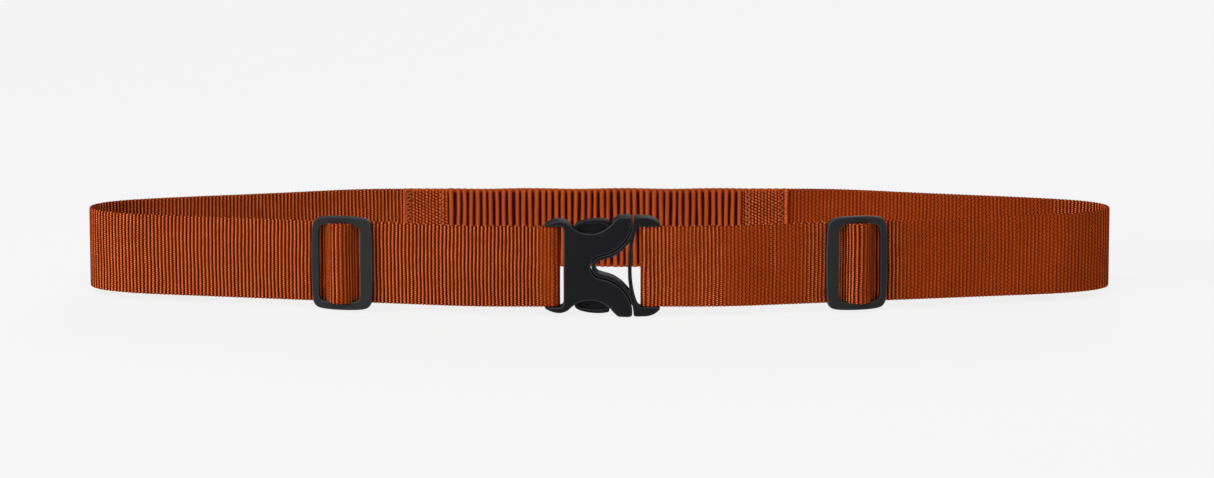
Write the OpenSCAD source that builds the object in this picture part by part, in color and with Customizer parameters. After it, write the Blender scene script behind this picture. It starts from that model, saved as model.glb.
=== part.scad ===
// Luggage strap: a closed loop of ribbed webbing standing on its edge, with a side-release
// buckle at the front, a slider on each side of it and a gathered stretch panel at the back.
// Millimetres. X runs along the loop, -Y is the buckle side, Z is up and 0 is the floor.

/* [Webbing] */
// width of the webbing
web_w = 38; // [34:1:40]
// thickness of one ply
web_t = 1.6; // [1.2:0.1:1.8]
// air between plies, and between a ply and the hardware
ply_gap = 0.3; // [0.3:0.05:0.4]

/* [Loop plan] */
// outer length of the loop
loop_len = 488; // [470:2:540]
// slope of the straight front runs against X
front_slope = 11; // [10:0.5:12]
// slope of the straight back runs against X
back_slope = 14.5; // [13:0.5:16]
// radius of each end turn
end_r = 13; // [11:1:16]
// radius that eases the end turn into the straight runs
ease_r = 50; // [40:2:60]
// slope at which the end turn gives way to the easing bend
ease_slope = 40; // [35:1:45]

/* [Buckle] */
// overall height of the shell, across the webbing
shell_h = 48; // [47:0.5:50]
// thickness of the shell
shell_t = 9; // [8.5:0.5:11]
// inside height of the prong channels, through the thickness
channel_t = 5.6; // [5:0.2:6]
// diameter of the buckle's two webbing bars
bar_d = 3.6; // [3:0.2:4]
// offset of the buckle from the middle of the loop
buckle_x = 1.5; // [0:0.5:3]

/* [Sliders] */
// distance of each slider from the middle of the loop, along X
slider_x = 120.8; // [112:0.4:130]
// length of a slider frame along the webbing
slider_len = 29.7; // [29:0.1:32]
// height of a slider frame
slider_h = 45.1; // [44:0.1:48]
// thickness of a slider frame
slider_t = 3; // [2.6:0.1:3.2]
// diameter of the round centre bar
centre_d = 2.6; // [2.2:0.1:2.8]
// length of the sewn tail behind the slider
tail_len = 20; // [14:1:26]

/* [Stretch panel] */
// length of the gathered part
gather_len = 143; // [120:1:150]
// length of each flat sewn end of the sleeve
flat_end = 22; // [18:1:23]
// thickness over the gathers
gather_t = 5; // [4.4:0.1:6]
// thickness of the elastic inside
elastic_t = 1.4; // [1:0.1:1.8]

/* [Hidden] */
$fa = 6;
$fs = 0.4;
eps = 0.01;

// Loop plan, in the loop's own plane: half-length to the middle of the ply, and depths.
half_len = loop_len/2 - web_t/2;
end_reach = end_r*(1 - sin(ease_slope));
end_depth = end_r*cos(ease_slope);

function bend_len(r, a, b) = r*(sin(a) - sin(b));
function bend_rise(r, a, b) = r*(cos(b) - cos(a));

// Front side: easing bend, straight run, then a bend that brings the ply parallel to X.
front_flat_r = 180;
front_start = [-half_len + end_reach + bend_len(ease_r, ease_slope, front_slope),
               -end_depth - bend_rise(ease_r, ease_slope, front_slope)];
front_flat_x = 42;
front_run_end_x = -front_flat_x - front_flat_r*sin(front_slope);
front_run_len = (front_run_end_x - front_start[0])/cos(front_slope);
front_y = front_start[1] - front_run_len*sin(front_slope)
          - front_flat_r*(1 - cos(front_slope));

// Back side: the same, with its own slope.
back_flat_r = 150;
back_flat_x = 98;
back_start = [-half_len + end_reach + bend_len(ease_r, ease_slope, back_slope),
              end_depth + bend_rise(ease_r, ease_slope, back_slope)];
back_run_end_x = -back_flat_x - back_flat_r*sin(back_slope);
back_run_len = (back_run_end_x - back_start[0])/cos(back_slope);
back_y = back_start[1] + back_run_len*sin(back_slope) + back_flat_r*(1 - cos(back_slope));

// Panel.
panel_x = -2;
gather_x0 = panel_x - gather_len/2;
gather_x1 = panel_x + gather_len/2;
sleeve_x0 = gather_x0 - flat_end;
sleeve_x1 = gather_x1 + flat_end;
sleeve_wall = 0.8;
sleeve_gap = 0.02;
elastic_w = web_w - 4;
ridge_count = 45;
gather_pitch = gather_len/ridge_count;
ridge_r = gather_pitch*0.42;

// Buckle, in its own frame: u to the right, v outward, w up.
socket_bar_u = -23.6;
plug_bar_u = 21.5;
wrap_r = bar_d/2 + ply_gap + web_t/2;
buckle_v = -wrap_r;
horn_in = web_w/2 + ply_gap;
horn_out = 22.1;
lobe_r = 17.5;
lobe_u = -3.5;
lobe_w = 22.9;
mouth_u = 14;
apex_r = 5.7;
apex_u = -0.1;
strip_gap = 0.5;
strip_w = 1.9;
channel_in = 10.8;
channel_out = 20.8;
channel_u0 = -14.8;
window_u1 = 3.6;
body_u = -18.4;
dish_r = 13.5;
dish_u = -6;
dish_w = 29.6;
frame_t = shell_t - 1;
horn_r = 5;
plug_horn_r = 5.9;
seam_u = 14.4;
strut_c = 58.9;
strut_r = 47;
strut_w = 1.8;
strut_reach = 8;
plug_top = shell_h/2 - 0.2;
bar_lap = 2;
horn_ease = 1.4;

// Room cut from the plug's plate over the lobes and beside the apex.
lobe_cut = 2;
apex_lap = 1.4;
apex_clear = 6;
horn_lap = 1.5;

// Press prongs.
prong_t = channel_t - 0.8;
pivot_u = 15;
pivot_w = 17.2;
root_r = 1.1;
slot_len = 4;
slot_room = 0.5;
pad_u0 = -13.2;
pad_u1 = 3.2;
pad_in = 15.2;
pad_top = 22.5;
pad_r = 35;
pad_peak_u = -2.5;

// Sliders, in their own frame: u towards the buckle, v outward, w up; 0 is the frame's middle.
slack = 0.1;
run_v = -(slider_t/2 + ply_gap + slack + web_t/2);
bar_u = -1.25;
bar_v = -0.2;
loop_r = centre_d/2 + ply_gap + web_t/2;
hump_r = loop_r + ply_gap + web_t;
inner_off = web_t + ply_gap + slack;
weave_slope = 56;
ease_in_r = 3;
weave_rise = bar_v + hump_r*cos(weave_slope) - run_v - ease_in_r*(1 - cos(weave_slope));
weave_line = weave_rise/sin(weave_slope);
weave_half = ease_in_r*sin(weave_slope) + weave_line*cos(weave_slope)
             + hump_r*sin(weave_slope);
weave_u0 = bar_u - weave_half;
weave_u1 = bar_u + weave_half;

// Sewn loop: the inner ply rises to the bar, wraps it and returns as the tail.
inner_v = run_v - inner_off;
inner_ease_r = ease_in_r + inner_off;
inner_rise = bar_v + loop_r*cos(weave_slope) - inner_v - inner_ease_r*(1 - cos(weave_slope));
inner_line = inner_rise/sin(weave_slope);
inner_u1 = bar_u + loop_r*sin(weave_slope) + inner_line*cos(weave_slope)
           + inner_ease_r*sin(weave_slope);
tail_slope = 36;
tail_v = inner_v - inner_off;
tail_ease_r = 3;
tail_drop = bar_v - loop_r*cos(tail_slope) - tail_v - tail_ease_r*(1 - cos(tail_slope));
tail_line = tail_drop/sin(tail_slope);
tail_u0 = bar_u - loop_r*sin(tail_slope) + tail_line*cos(tail_slope)
          + tail_ease_r*sin(tail_slope);

// Where the slider stands on the straight run, measured along it from its start.
slider_s = (-slider_x - front_start[0])/cos(front_slope);
slider_pos = [front_start[0] + slider_s*cos(front_slope),
              front_start[1] - slider_s*sin(front_slope)];

// Stance: the loop tips about X until the back ply's edge and the buckle's edge both touch
// the floor.
sleeve_half = web_w/2 + sleeve_wall;
back_low_y = back_y + gather_t/2;
front_low_y = front_y - buckle_v + shell_t/2;
tilt = atan((shell_h/2 - sleeve_half)/(back_low_y - front_low_y));
lift = sleeve_half*cos(tilt) + back_low_y*sin(tilt);

// Y = 0 is half way between the front of the buckle and the back of the panel.
front_far = (front_low_y - shell_t)*cos(tilt) - shell_h/2*sin(tilt);
back_far = back_low_y*cos(tilt) + sleeve_half*sin(tilt);
depth_mid = (front_far + back_far)/2;

// Closing of the plies behind the buckle bar.
close_slope = 20;
close_r = 6;
close_line = (wrap_r*(1 + cos(close_slope)) - inner_off - close_r*(1 - cos(close_slope)))
             /sin(close_slope);
close_reach = wrap_r*sin(close_slope) + close_line*cos(close_slope)
              + close_r*sin(close_slope);
left_bar_x = -(buckle_x + socket_bar_u);
right_bar_x = buckle_x + plug_bar_u;
left_back_end = gather_x0;
right_back_end = -gather_x1;

// Slider frame details.
far_bar = 3.7;
near_bar = 6.2;
side_gap = 0.35;
slider_corner = 4.5;
rail_bow_r = 110;
side_bow_r = 270;
window_corner = 2.4;
lobe_round = 1.2;

// Bends are laid in steps of at most this angle; plies that belong to different moving
// pieces stop this far apart.
bend_step = 4;
part_gap = 0.3;

// Thread and sleeve details.
stitch_t = 0.3;
stitch_l = 2.1;
stitch_count = 12;
stitch_span = web_w - 4;
stitch_rows = 3;
row_inset = 3.5;
seam_inset = 3;
seam_row = 1.1;
flat_t = web_t + 2*sleeve_wall + 2*sleeve_gap;

module stand() {
  translate([0, -depth_mid, lift])
    rotate([-tilt, 0, 0])
      children();
}

// Webbing laid along a path of steps: ["s", length] or ["a", radius, signed angle]. A place on
// the path is [x, y, heading].
function after(p, s) =
  s[0] == "s"
    ? [p[0] + s[1]*cos(p[2]), p[1] + s[1]*sin(p[2]), p[2]]
    : [p[0] + s[1]*sign(s[2])*(sin(p[2] + s[2]) - sin(p[2])),
       p[1] - s[1]*sign(s[2])*(cos(p[2] + s[2]) - cos(p[2])),
       p[2] + s[2]];

function arc_parts(s) = max(2, ceil(abs(s[2])/bend_step));
function along(p, s) =
  s[0] == "s"
    ? [p]
    : [for (k = [0:arc_parts(s) - 1]) after(p, ["a", s[1], s[2]*k/arc_parts(s)])];
function laid(p, steps, i = 0) =
  i == len(steps)
    ? [p]
    : concat(along(p, steps[i]), laid(after(p, steps[i]), steps, i + 1));
function beside(q, d) = [q[0] - d*sin(q[2]), q[1] + d*cos(q[2])];

module ribbon(p, steps) {
  line = laid(p, steps);
  last = len(line) - 1;
  linear_extrude(web_w, center = true)
    polygon(concat([for (q = line) beside(q, web_t/2)],
                   [for (k = [0:last]) beside(line[last - k], -web_t/2)]));
}

// Left side in the loop frame; the right side is its mirror image.
module side(right) {
  stand()
    if (right)
      mirror([1, 0, 0])
        children();
    else
      children();
}

module webbing() {
  color([0.56, 0.21, 0.07])
    children();
}

module plastic() {
  color([0.09, 0.09, 0.10])
    children();
}

module thread() {
  color([0.66, 0.27, 0.11])
    children();
}

// End of the loop, from the back ease to the front ease.
module end_turn() {
  ribbon([-half_len + end_reach, end_depth, 180 + ease_slope], [["a", end_r, 180 - 2*ease_slope]]);
}

module front_bend() {
  ribbon([-half_len + end_reach, -end_depth, -ease_slope],
         [["a", ease_r, ease_slope - front_slope]]);
}

module back_bend() {
  ribbon([-half_len + end_reach, end_depth, ease_slope],
         [["a", ease_r, back_slope - ease_slope]]);
}

module front_run() {
  ribbon([front_start[0], front_start[1], -front_slope],
         [["s", slider_s + weave_u0 - part_gap]]);
}

module back_run(x_end) {
  ribbon([back_start[0], back_start[1], back_slope],
         [["s", back_run_len], ["a", back_flat_r, -back_slope], ["s", back_flat_x + x_end]]);
}

// Slider frame placed on the run.
module on_slider() {
  translate([slider_pos[0], slider_pos[1], 0])
    rotate([0, 0, -front_slope])
      mirror([0, 1, 0])
        translate([0, -run_v, 0])
          children();
}

// The ply that weaves through the slider, over the centre bar.
module weave() {
  on_slider()
    ribbon([weave_u0, run_v, 0],
           [["a", ease_in_r, weave_slope], ["s", weave_line], ["a", hump_r, -2*weave_slope],
            ["s", weave_line], ["a", ease_in_r, weave_slope]]);
}

// The webbing's own end, sewn as a loop round the centre bar.
module sewn_loop() {
  on_slider()
    ribbon([inner_u1, inner_v, 180],
           [["a", inner_ease_r, -weave_slope], ["s", inner_line],
            ["a", loop_r, 180 + weave_slope - tail_slope], ["s", tail_line],
            ["a", tail_ease_r, tail_slope], ["s", tail_len]]);
}

// Rows of thread that close the sewn loop, standing on the tail's free face.
module end_stitches() {
  row_step = (tail_len - 2*row_inset)/(stitch_rows - 1);
  on_slider()
    for (row = [0:stitch_rows - 1])
      for (n = [0:stitch_count - 1])
        translate([tail_u0 + row_inset + row*row_step, tail_v - web_t/2 - stitch_t,
                   -stitch_span/2 + n*stitch_span/stitch_count])
          cube([stitch_t*2, stitch_t, stitch_l]);
}

module front_ply(bar_x) {
  s0 = slider_s + weave_u1 + part_gap;
  ribbon([front_start[0] + s0*cos(front_slope), front_start[1] - s0*sin(front_slope),
          -front_slope],
         [["s", front_run_len - s0], ["a", front_flat_r, front_slope],
          ["s", front_flat_x - bar_x]]);
}

// Wrap round the buckle bar, closing on to the front ply behind it.
module buckle_wrap(bar_x) {
  ribbon([-bar_x, front_y, 0],
         [["a", wrap_r, 180 + close_slope], ["s", close_line],
          ["a", close_r, -close_slope]]);
}

module inner_ply(bar_x) {
  s0 = slider_s + inner_u1 + part_gap;
  ribbon([front_start[0] + s0*cos(front_slope) + inner_off*sin(front_slope),
          front_start[1] - s0*sin(front_slope) + inner_off*cos(front_slope), -front_slope],
         [["s", front_run_len - s0], ["a", front_flat_r - inner_off, front_slope],
          ["s", front_flat_x - bar_x - close_reach]]);
}

// Slider frame: rounded corners, bowed rails and sides, one window and a round centre bar.
module slider_frame() {
  on_slider() {
    rotate([90, 0, 0])
      linear_extrude(slider_t, center = true)
        difference() {
          intersection() {
            rounded([slider_len, slider_h], slider_corner);
            translate([0, slider_h/2 - rail_bow_r])
              circle(rail_bow_r);
            translate([0, rail_bow_r - slider_h/2])
              circle(rail_bow_r);
            translate([slider_len/2 - side_bow_r, 0])
              circle(side_bow_r, $fn = 360);
            translate([side_bow_r - slider_len/2, 0])
              circle(side_bow_r, $fn = 360);
          }
          translate([(far_bar - near_bar)/2, 0])
            rounded([slider_len - far_bar - near_bar, web_w + 2*side_gap], window_corner);
        }
    translate([bar_u, bar_v, 0])
      cylinder(d = centre_d, h = web_w + 2*side_gap + bar_lap, center = true);
  }
}

module rounded(size, r) {
  for (a = [-1, 1])
    for (b = [-1, 1])
      translate([a*(size[0]/2 - r), b*(size[1]/2 - r)])
        circle(r);
  square([size[0] - 2*r, size[1]], center = true);
  square([size[0], size[1] - 2*r], center = true);
}

// Buckle frame: u along X, w up, and the plate's thickness outward.
module on_buckle() {
  stand()
    translate([buckle_x, front_y - buckle_v, 0])
      rotate([90, 0, 0])
        children();
}

module both_w() {
  children();
  mirror([0, 1, 0])
    children();
}

module web_bar(u) {
  translate([u, 0, 0])
    rotate([90, 0, 0])
      cylinder(d = bar_d, h = 2*horn_in + bar_lap, center = true);
}

// A horn: straight inner edge, rounded outer corner; it reaches from u0 out to the corner.
module horn(u0, corner_u, r, top) {
  intersection() {
    union() {
      translate([corner_u, top - r])
        circle(r);
      translate([min(u0, corner_u), top - r])
        square([abs(corner_u - u0), r]);
    }
    translate([min(u0, corner_u) - r, horn_in])
      square([abs(corner_u - u0) + 2*r, top - horn_in]);
  }
}

module socket_outline() {
  difference() {
    union() {
      translate([body_u, -horn_out])
        square([apex_u - body_u, 2*horn_out]);
      both_w() {
        intersection() {
          translate([lobe_u, lobe_w])
            circle(lobe_r);
          translate([apex_u - eps, 0])
            square([mouth_u - apex_u, shell_h/2 - lobe_round]);
        }
        translate([0, horn_out - eps])
          square([mouth_u - lobe_round, shell_h/2 - horn_out + eps]);
        translate([mouth_u - lobe_round, shell_h/2 - lobe_round])
          circle(lobe_round);
        horn(body_u, socket_bar_u + horn_ease, horn_r, horn_out);
      }
    }
    both_w()
      translate([dish_u, dish_w])
        circle(dish_r);
    translate([apex_u, 0])
      circle(apex_r);
  }
}

module socket_half() {
  difference() {
    linear_extrude(shell_t, center = true)
      socket_outline();
    both_w() {
      translate([channel_u0, channel_in, -channel_t/2])
        cube([mouth_u + 2 - channel_u0, channel_out - channel_in, channel_t]);
      translate([channel_u0, channel_in, -channel_t/2])
        cube([window_u1 - channel_u0, shell_h/2, channel_t]);
    }
  }
  web_bar(socket_bar_u);
}

module plug_outline() {
  difference() {
    translate([apex_u - apex_r, -plug_top])
      square([strut_c - strut_r + strut_reach - apex_u + apex_r, 2*plug_top]);
    both_w() {
      translate([lobe_u, lobe_w])
        circle(lobe_r + strip_gap);
      translate([apex_u - apex_r - eps, lobe_w - lobe_cut])
        square([seam_u - apex_u + apex_r + eps, 2*lobe_cut]);
      translate([apex_u - apex_r - eps, apex_r - apex_lap])
        square([apex_r, apex_clear]);
    }
    difference() {
      translate([apex_u - apex_r - 1, -apex_r])
        square([apex_r + 1, 2*apex_r]);
      translate([apex_u, 0])
        circle(apex_r - strip_gap);
    }
    // Window between the strip and the strut.
    difference() {
      union() {
        translate([apex_u, 0])
          circle(apex_r - strip_gap - strip_w);
        translate([apex_u, -lobe_w])
          square([strut_c - strut_r - apex_u + apex_clear, 2*lobe_w]);
      }
      both_w() {
        translate([lobe_u, lobe_w])
          circle(lobe_r + strip_gap + strip_w);
        translate([lobe_u, lobe_w])
          square([strut_c, 2*lobe_cut]);
      }
      translate([strut_c, 0])
        circle(strut_r);
    }
    translate([strut_c, 0])
      circle(strut_r - strut_w);
  }
  both_w()
    horn(seam_u + horn_lap, plug_bar_u, plug_horn_r, plug_top);
}

module plug_half() {
  difference() {
    linear_extrude(frame_t, center = true)
      plug_outline();
    both_w() {
      translate([pivot_u, pivot_w, 0])
        cylinder(r = root_r + ply_gap, h = prong_t + 2*ply_gap, center = true);
      translate([pivot_u - slot_len, pivot_w - root_r - slot_room, -prong_t/2 - ply_gap])
        cube([slot_len, 2*(root_r + slot_room), prong_t + 2*ply_gap]);
    }
  }
  web_bar(plug_bar_u);
}

// Upper press prong: round root at its pivot, slim arm and arched pad.
module prong() {
  translate([0, 0, -prong_t/2])
    linear_extrude(prong_t) {
      intersection() {
        translate([pad_peak_u, pad_top - pad_r])
          circle(pad_r);
        translate([pad_u0, pad_in])
          square([pad_u1 - pad_u0, pad_top]);
      }
      translate([pad_u1 - 1, pivot_w - root_r])
        square([pivot_u - pad_u1 + 1, 2*root_r]);
      translate([pivot_u, pivot_w])
        circle(root_r);
    }
}

// Flat end of the sleeve: a flattened tube round the webbing's end.
module sleeve_end(x0, x1) {
  stand()
    difference() {
      translate([x0, back_y - flat_t/2, -sleeve_half])
        cube([x1 - x0, flat_t, 2*sleeve_half]);
      translate([x0 - 1, back_y - web_t/2 - sleeve_gap, -web_w/2 - sleeve_gap])
        cube([x1 - x0 + 2, web_t + 2*sleeve_gap, web_w + 2*sleeve_gap]);
    }
}

// Gathered middle of the sleeve: rounded ridges on both faces round a flat slot.
module gathers() {
  core_t = gather_t - 2*ridge_r;
  stand()
    difference() {
      union() {
        translate([gather_x0, back_y - core_t/2 - ridge_r/2, -sleeve_half])
          cube([gather_len - part_gap, core_t + ridge_r, 2*sleeve_half]);
        for (n = [0:ridge_count - 1])
          for (s = [-1, 1])
            translate([gather_x0 + (n + 0.5)*gather_pitch, back_y + s*(gather_t/2 - ridge_r), 0])
              cylinder(r = ridge_r, h = 2*sleeve_half, center = true);
      }
      translate([gather_x0 - 1, back_y - elastic_t/2 - sleeve_gap, -elastic_w/2 - sleeve_gap])
        cube([gather_len + 2, elastic_t + 2*sleeve_gap, elastic_w + 2*sleeve_gap]);
    }
}

module elastic() {
  stand()
    translate([gather_x0, back_y - elastic_t/2, -elastic_w/2])
      cube([gather_len - part_gap, elastic_t, elastic_w]);
}

// Two rows of thread on each face of the sleeve, across the webbing.
module seam(x) {
  stand()
    for (row = [-1, 1])
      for (s = [-1, 1])
        for (n = [0:stitch_count - 1])
          translate([x + row*seam_row - stitch_t, back_y + s*(flat_t + stitch_t)/2 - stitch_t/2,
                     -stitch_span/2 + n*stitch_span/stitch_count])
            cube([2*stitch_t, stitch_t, stitch_l]);
}

// Named sub-parts.
module socket_buckle_half() {
  plastic()
    on_buckle()
      socket_half();
}

module plug_buckle_half() {
  plastic()
    on_buckle()
      plug_half();
}

module upper_prong() {
  plastic()
    on_buckle()
      prong();
}

module lower_prong() {
  plastic()
    on_buckle()
      mirror([0, 1, 0])
        prong();
}

module left_end_turn() {
  webbing()
    side(false)
      end_turn();
}

module left_front_bend() {
  webbing()
    side(false)
      front_bend();
}

module left_back_bend() {
  webbing()
    side(false)
      back_bend();
}

module left_front_run() {
  webbing()
    side(false)
      front_run();
}

module left_back_run() {
  webbing()
    side(false)
      back_run(left_back_end);
}

module left_weave() {
  webbing()
    side(false)
      weave();
}

module left_front_ply() {
  webbing()
    side(false)
      front_ply(left_bar_x);
}

module left_buckle_wrap() {
  webbing()
    side(false)
      buckle_wrap(left_bar_x);
}

module left_inner_ply() {
  webbing()
    side(false)
      inner_ply(left_bar_x);
}

module left_sewn_loop() {
  webbing()
    side(false)
      sewn_loop();
}

module left_loop_stitches() {
  thread()
    side(false)
      end_stitches();
}

module left_slider() {
  plastic()
    side(false)
      slider_frame();
}

module right_end_turn() {
  webbing()
    side(true)
      end_turn();
}

module right_front_bend() {
  webbing()
    side(true)
      front_bend();
}

module right_back_bend() {
  webbing()
    side(true)
      back_bend();
}

module right_front_run() {
  webbing()
    side(true)
      front_run();
}

module right_back_run() {
  webbing()
    side(true)
      back_run(right_back_end);
}

module right_weave() {
  webbing()
    side(true)
      weave();
}

module right_front_ply() {
  webbing()
    side(true)
      front_ply(right_bar_x);
}

module right_buckle_wrap() {
  webbing()
    side(true)
      buckle_wrap(right_bar_x);
}

module right_inner_ply() {
  webbing()
    side(true)
      inner_ply(right_bar_x);
}

module right_sewn_loop() {
  webbing()
    side(true)
      sewn_loop();
}

module right_loop_stitches() {
  thread()
    side(true)
      end_stitches();
}

module right_slider() {
  plastic()
    side(true)
      slider_frame();
}

module sleeve_left_end() {
  webbing()
    sleeve_end(sleeve_x0, gather_x0);
}

module sleeve_gathers() {
  webbing()
    gathers();
}

module sleeve_right_end() {
  webbing()
    sleeve_end(gather_x1, sleeve_x1);
}

module elastic_core() {
  thread()
    elastic();
}

module outer_left_seam() {
  thread()
    seam(sleeve_x0 + seam_inset);
}

module inner_left_seam() {
  thread()
    seam(gather_x0 - seam_inset);
}

module inner_right_seam() {
  thread()
    seam(gather_x1 + seam_inset);
}

module outer_right_seam() {
  thread()
    seam(sleeve_x1 - seam_inset);
}

socket_buckle_half();
plug_buckle_half();
upper_prong();
lower_prong();
left_slider();
left_end_turn();
left_front_bend();
left_back_bend();
left_front_run();
left_back_run();
left_weave();
left_front_ply();
left_buckle_wrap();
left_inner_ply();
left_sewn_loop();
left_loop_stitches();
right_slider();
right_end_turn();
right_front_bend();
right_back_bend();
right_front_run();
right_back_run();
right_weave();
right_front_ply();
right_buckle_wrap();
right_inner_ply();
right_sewn_loop();
right_loop_stitches();
sleeve_left_end();
sleeve_gathers();
sleeve_right_end();
elastic_core();
outer_left_seam();
inner_left_seam();
inner_right_seam();
outer_right_seam();
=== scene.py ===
import math
import bpy
import numpy as np
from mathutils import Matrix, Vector

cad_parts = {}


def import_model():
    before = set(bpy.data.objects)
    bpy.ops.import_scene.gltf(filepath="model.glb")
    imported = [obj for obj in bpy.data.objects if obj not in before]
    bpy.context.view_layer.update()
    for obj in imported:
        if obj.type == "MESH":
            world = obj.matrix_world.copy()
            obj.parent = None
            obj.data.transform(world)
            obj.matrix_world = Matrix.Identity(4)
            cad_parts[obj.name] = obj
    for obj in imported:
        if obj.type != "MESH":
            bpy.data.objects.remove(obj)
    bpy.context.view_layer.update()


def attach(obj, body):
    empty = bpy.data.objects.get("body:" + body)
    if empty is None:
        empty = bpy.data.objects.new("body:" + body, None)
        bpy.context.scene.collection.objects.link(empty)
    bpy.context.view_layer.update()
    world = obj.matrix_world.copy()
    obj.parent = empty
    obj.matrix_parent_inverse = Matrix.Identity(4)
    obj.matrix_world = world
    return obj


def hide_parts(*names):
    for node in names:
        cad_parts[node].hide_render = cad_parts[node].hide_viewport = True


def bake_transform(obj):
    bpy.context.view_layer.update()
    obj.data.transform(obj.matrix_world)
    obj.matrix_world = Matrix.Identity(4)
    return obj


# A luggage strap: a closed loop of ribbed webbing with a side-release buckle, two sliders and a
# gathered stretch panel. Everything is laid out in millimetres in the loop's own frame, in which
# the webbing stands upright, and world() tips it onto the floor of the CAD frame, in metres.
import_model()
rng = np.random.default_rng(7)
scene = bpy.context.scene
PI = math.pi

# ---------------- dimensions, millimetres
MM = 0.001
WEB_W, WEB_T, GAP, SLACK = 38.0, 1.6, 0.3, 0.1
HALF_W = WEB_W / 2

# The loop. FS and BS are the slopes of the front and back runs, ES that of the end turns' ends.
FS, BS, ES = math.radians(11), math.radians(14.5), math.radians(40)
LOOP_LEN = 488.0
LOOP_HALF = LOOP_LEN / 2 - WEB_T / 2
END_R, EASE_R = 13.0, 50.0
FRONT_R, FRONT_FLAT = 180.0, 42.0
BACK_R, BACK_FLAT = 150.0, 98.0
END_X = -LOOP_HALF + END_R * (1 - math.sin(ES))
END_Y = END_R * math.cos(ES)
F0 = (END_X + EASE_R * (math.sin(ES) - math.sin(FS)), -END_Y - EASE_R * (math.cos(FS) - math.cos(ES)))
F_LEN = (-FRONT_FLAT - FRONT_R * math.sin(FS) - F0[0]) / math.cos(FS)
FRONT_Y = F0[1] - F_LEN * math.sin(FS) - FRONT_R * (1 - math.cos(FS))
B0 = (END_X + EASE_R * (math.sin(ES) - math.sin(BS)), END_Y + EASE_R * (math.cos(BS) - math.cos(ES)))
B_LEN = (-BACK_FLAT - BACK_R * math.sin(BS) - B0[0]) / math.cos(BS)
BACK_Y = B0[1] + B_LEN * math.sin(BS) + BACK_R * (1 - math.cos(BS))

# The stretch panel: its gathers run from GX0 to GX1, with a flat end outside each.
GX0, GX1, FLAT_END = -73.5, 69.5, 22.0
LEFT_HEM, RIGHT_HEM = GX0 - FLAT_END, GX1 + FLAT_END
SLEEVE_HALF = HALF_W + 0.8
FLAT_T = WEB_T + 1.64
GATHER_T, ELASTIC_T, ELASTIC_W = 5.0, 1.4, 34.0

# The buckle, and how far the loop tips so that buckle and panel both touch the floor.
BAR_D, SHELL_H, SHELL_T, BUCKLE_X = 3.6, 48.0, 9.0, 1.5
SOCKET_BAR, PLUG_BAR = 23.6, 21.5
WRAP_R = BAR_D / 2 + GAP + WEB_T / 2
BACK_LOW = BACK_Y + GATHER_T / 2
FRONT_LOW = FRONT_Y + WRAP_R + SHELL_T / 2
TILT = math.atan((SHELL_H / 2 - SLEEVE_HALF) / (BACK_LOW - FRONT_LOW))
LIFT = SLEEVE_HALF * math.cos(TILT) + BACK_LOW * math.sin(TILT)
MID = ((FRONT_LOW - SHELL_T) * math.cos(TILT) - SHELL_H / 2 * math.sin(TILT)
       + BACK_LOW * math.cos(TILT) + SLEEVE_HALF * math.sin(TILT)) / 2

# The sliders. In a slider's frame u runs along the webbing and v out of the slider's face.
SLIDER_X, SLIDER_T, CENTRE_D, TAIL_LEN = 120.8, 3.0, 2.6, 20.0
RUN_V = -(SLIDER_T / 2 + GAP + SLACK + WEB_T / 2)
BAR_U, BAR_V = -1.25, -0.2
LOOP_R = CENTRE_D / 2 + GAP + WEB_T / 2
HUMP_R = LOOP_R + GAP + WEB_T
INNER_OFF = WEB_T + GAP + SLACK
WEAVE_A, TAIL_A, CLOSE_A = math.radians(56), math.radians(36), math.radians(20)
EASE_IN, CLOSE_R = 3.0, 6.0
BUTT = 0.05         # gap between a moving ply and what it meets at the slider
GIVES = 14.0        # how far into the front bend a moving ply's far end lies


def drop_line(height, radius_in, slope):
    """Length of a straight ply at a slope, once the bend at its start has taken its share."""
    return (height - radius_in * (1 - math.cos(slope))) / math.sin(slope)


W_LINE = drop_line(BAR_V + HUMP_R * math.cos(WEAVE_A) - RUN_V, EASE_IN, WEAVE_A)
W_HALF = (EASE_IN + HUMP_R) * math.sin(WEAVE_A) + W_LINE * math.cos(WEAVE_A)
INNER_V = RUN_V - INNER_OFF
INNER_EASE = EASE_IN + INNER_OFF
I_LINE = drop_line(BAR_V + LOOP_R * math.cos(WEAVE_A) - INNER_V, INNER_EASE, WEAVE_A)
INNER_U = BAR_U + (LOOP_R + INNER_EASE) * math.sin(WEAVE_A) + I_LINE * math.cos(WEAVE_A)
TAIL_V = INNER_V - INNER_OFF
T_LINE = drop_line(BAR_V - LOOP_R * math.cos(TAIL_A) - TAIL_V, EASE_IN, TAIL_A)
TAIL_U = BAR_U + (EASE_IN - LOOP_R) * math.sin(TAIL_A) + T_LINE * math.cos(TAIL_A)
SLIDER_S = (-SLIDER_X - F0[0]) / math.cos(FS)
C_LINE = drop_line(WRAP_R * (1 + math.cos(CLOSE_A)) - INNER_OFF, CLOSE_R, CLOSE_A)
C_REACH = (WRAP_R + CLOSE_R) * math.sin(CLOSE_A) + C_LINE * math.cos(CLOSE_A)

# Both sides are laid out as the left one; flip mirrors the right one. pitch is the width of a rib.
SIDES = {
    "left": {"flip": 1, "gx": -GX0, "bar": SOCKET_BAR - BUCKLE_X, "pitch": 1.765},
    "right": {"flip": -1, "gx": GX1, "bar": PLUG_BAR + BUCKLE_X, "pitch": 1.82},
}


def turned(v):
    """Directions of the loop's own frame to the CAD frame."""
    v = np.asarray(v, float)
    c, s = math.cos(TILT), math.sin(TILT)
    return np.stack([v[..., 0], v[..., 1] * c + v[..., 2] * s, -v[..., 1] * s + v[..., 2] * c], -1)


def world(p):
    """Points of the loop's own frame, in mm, to the CAD frame, in metres."""
    return (turned(p) + (0.0, -MID, LIFT)) * MM


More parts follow.
